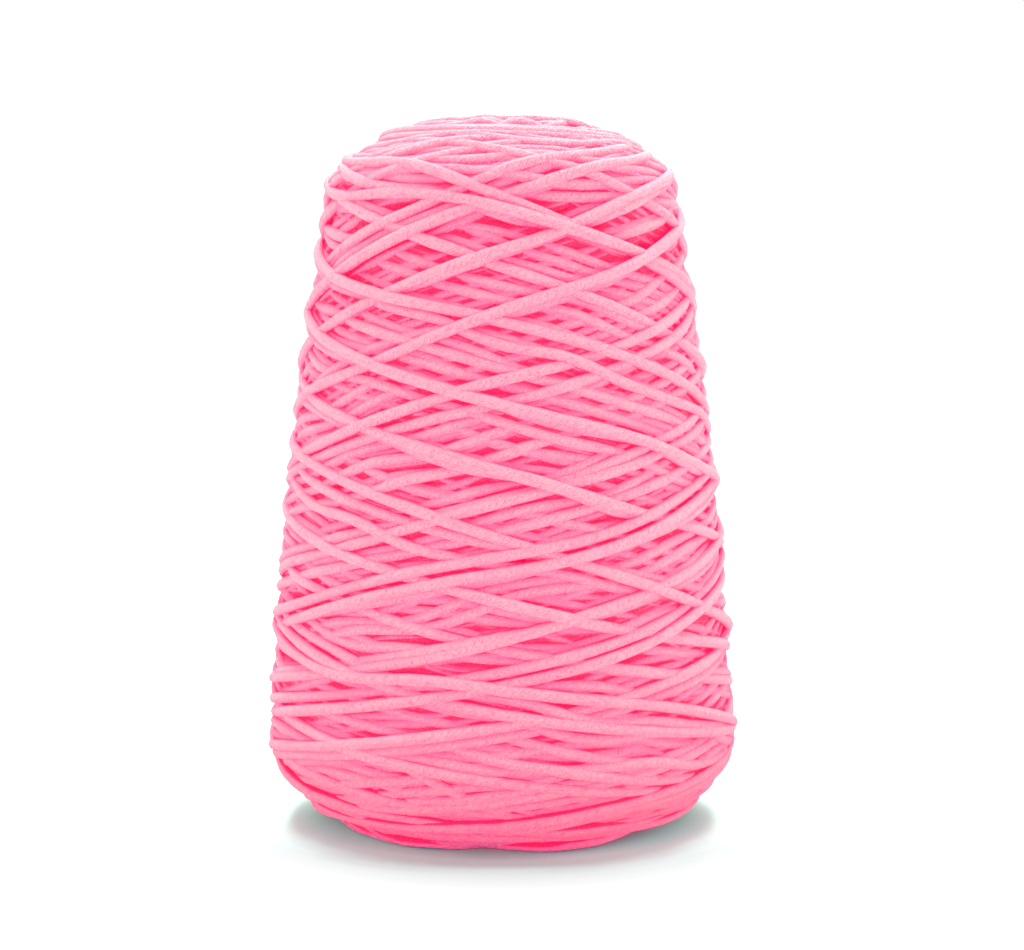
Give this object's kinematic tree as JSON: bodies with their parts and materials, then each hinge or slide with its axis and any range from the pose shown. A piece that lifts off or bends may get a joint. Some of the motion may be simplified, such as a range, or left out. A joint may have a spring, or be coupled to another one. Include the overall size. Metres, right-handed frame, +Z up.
{
  "type": "cone of tufting yarn",
  "caption": "Tapered cross-wound cone of chunky pink multi-ply tufting yarn, with a rounded base and shoulder and an open tapered bore.",
  "frame": {"origin": "centre of the flat ring that the cone stands on", "axes": "+Z up along the winding's axis, from the wide base to the nose; the picture's camera looks along +Y, with +X to the right"},
  "size_m": [0.1181, 0.1191, 0.1714],
  "materials": {
    "yarn": "soft matte multi-ply acrylic yarn, dyed bright pink"
  },
  "bodies": {
    "root": {"wound_yarn": "yarn"}
  },
  "joints": []
}
